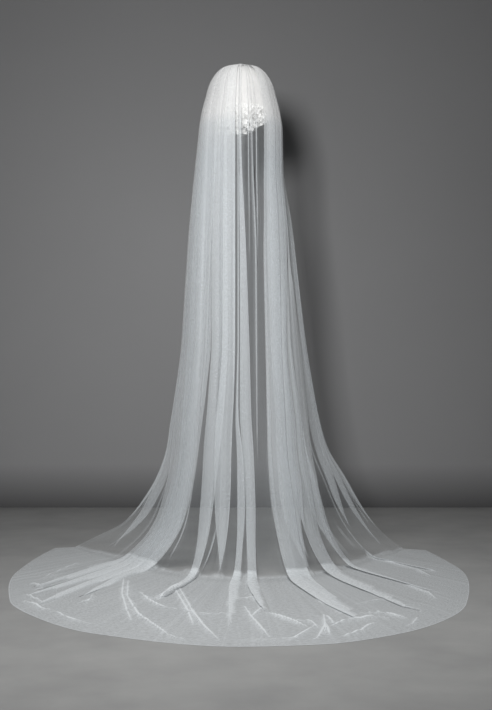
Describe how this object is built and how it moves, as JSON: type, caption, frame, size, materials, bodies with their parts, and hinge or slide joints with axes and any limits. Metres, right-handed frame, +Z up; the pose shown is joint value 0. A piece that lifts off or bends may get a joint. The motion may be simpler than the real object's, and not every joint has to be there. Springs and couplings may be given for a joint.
{
  "type": "bridal veil with padded crown",
  "caption": "Long bridal veil of plain soft net, gathered over a padded crown, falling in folds to a rounded train on the floor.",
  "frame": {"origin": "where the veil is held up: the dished underside of the padding in its crown, 1.49 m above the floor that the train lies on", "axes": "+Z up; +Y the way the wearer faces, so the train runs towards -Y; +X to the wearer's right"},
  "size_m": [1.4378, 1.5184, 1.6479],
  "materials": {
    "veil_tulle": "soft sheer white net, matt, see-through in one layer and nearly opaque where folds gather",
    "padding_tulle": "crumpled fluffy white net, opaque and matt"
  },
  "bodies": {
    "root": {"veil_crown": "veil_tulle", "veil_fall_left": "veil_tulle", "veil_fall_back": "veil_tulle", "veil_fall_right": "veil_tulle", "veil_train_left": "veil_tulle", "veil_train_back": "veil_tulle", "veil_train_right": "veil_tulle", "crown_padding": "padding_tulle"}
  },
  "joints": []
}
